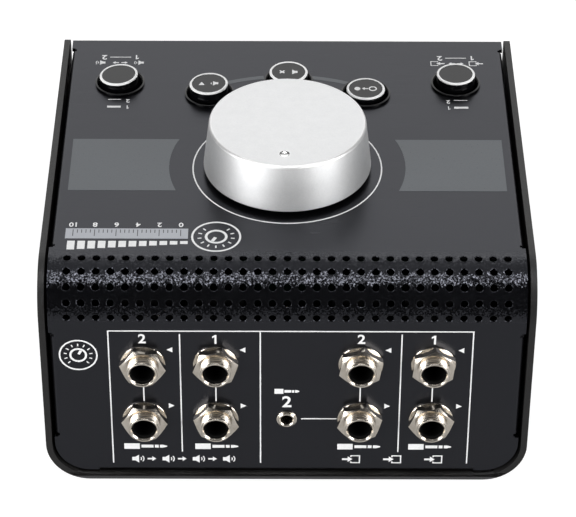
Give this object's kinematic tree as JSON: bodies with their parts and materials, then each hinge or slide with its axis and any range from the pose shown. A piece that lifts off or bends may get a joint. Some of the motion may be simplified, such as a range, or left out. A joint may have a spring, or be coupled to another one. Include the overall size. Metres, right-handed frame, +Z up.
{
  "type": "studio monitor controller",
  "caption": "Wedge-shaped desktop monitor controller: one large level knob, push buttons with white rings and a sloping rear plate of jack sockets.",
  "frame": {"origin": "middle of the footprint, on the surface that the feet stand on", "axes": "+Z up, -Y towards the user and the low front edge, +Y towards the sockets, +X to the left of someone looking at the sockets"},
  "size_m": [0.1456, 0.1476, 0.0806],
  "materials": {
    "case_paint": "satin powder coat",
    "panel_paint": "satin paint with a fine sideways grain",
    "foot_rubber": "matte",
    "black_screw_steel": "blackened steel",
    "knob_aluminium": "satin, turned",
    "black_moulding": "matte",
    "shaft_steel": "plain",
    "brass": "plain",
    "pot_case": "moulded",
    "gloss_black": "polished",
    "board_green": "solder mask over glass board",
    "nickel": "nickel plate, slightly warm",
    "ribbon_grey": "matte",
    "ring_white": "satin white",
    "stem_white": "moulded"
  },
  "bodies": {
    "case": {"base_shell": "case_paint", "cover_panel": "panel_paint", "rubber_feet": "foot_rubber", "case_screws": "black_screw_steel", "pot_bushing": "brass", "pot_body": "pot_case", "pot_nut": "shaft_steel", "pot_washer": "shaft_steel", "button_bezels": "gloss_black", "switch_bodies": "black_moulding", "control_board": "board_green", "board_spacers": "shaft_steel", "board_screws": "shaft_steel", "jack_board": "board_green", "jack_body_1": "black_moulding", "jack_body_2": "black_moulding", "jack_body_3": "black_moulding", "jack_body_4": "black_moulding", "jack_body_5": "black_moulding", "jack_body_6": "black_moulding", "jack_body_7": "black_moulding", "jack_body_8": "black_moulding", "jack_nose_1": "nickel", "jack_nose_2": "nickel", "jack_nose_3": "nickel", "jack_nose_4": "nickel", "jack_nose_5": "nickel", "jack_nose_6": "nickel", "jack_nose_7": "nickel", "jack_nose_8": "nickel", "jack_nuts": "nickel", "jack_washers": "nickel", "mini_jack_body": "black_moulding", "mini_jack_nose": "nickel", "ribbon_headers": "black_moulding", "ribbon_cable": "ribbon_grey"},
    "knob": {"knob_cap": "knob_aluminium", "knob_hub": "black_moulding", "pot_shaft": "shaft_steel"},
    "output_select_button": {"output_select_cap": "gloss_black", "output_select_ring": "ring_white", "output_select_plunger": "stem_white"},
    "dim_button": {"dim_cap": "gloss_black", "dim_ring": "ring_white", "dim_plunger": "stem_white"},
    "mute_button": {"mute_cap": "gloss_black", "mute_ring": "ring_white", "mute_plunger": "stem_white"},
    "mono_button": {"mono_cap": "gloss_black", "mono_ring": "ring_white", "mono_plunger": "stem_white"},
    "input_select_button": {"input_select_cap": "gloss_black", "input_select_ring": "ring_white", "input_select_plunger": "stem_white"}
  },
  "joints": [
    {"name": "knob_turn", "type": "hinge", "parent": "case", "child": "knob", "pos_m": [0, -0.00446, 0.0574], "axis": [0, -0.2924, 0.9563], "range_deg": [-150, 150]},
    {"name": "output_select_press", "type": "slide", "parent": "case", "child": "output_select_button", "axis": [0, 0.2924, -0.9563], "range_m": [0, 0.0025], "stiffness_N_per_m": 300},
    {"name": "dim_press", "type": "slide", "parent": "case", "child": "dim_button", "axis": [0, 0.2924, -0.9563], "range_m": [0, 0.0025], "stiffness_N_per_m": 300},
    {"name": "mute_press", "type": "slide", "parent": "case", "child": "mute_button", "axis": [0, 0.2924, -0.9563], "range_m": [0, 0.0025], "stiffness_N_per_m": 300},
    {"name": "mono_press", "type": "slide", "parent": "case", "child": "mono_button", "axis": [0, 0.2924, -0.9563], "range_m": [-0.0016, 0.0009], "stiffness_N_per_m": 300},
    {"name": "input_select_press", "type": "slide", "parent": "case", "child": "input_select_button", "axis": [0, 0.2924, -0.9563], "range_m": [0, 0.0025], "stiffness_N_per_m": 300}
  ]
}
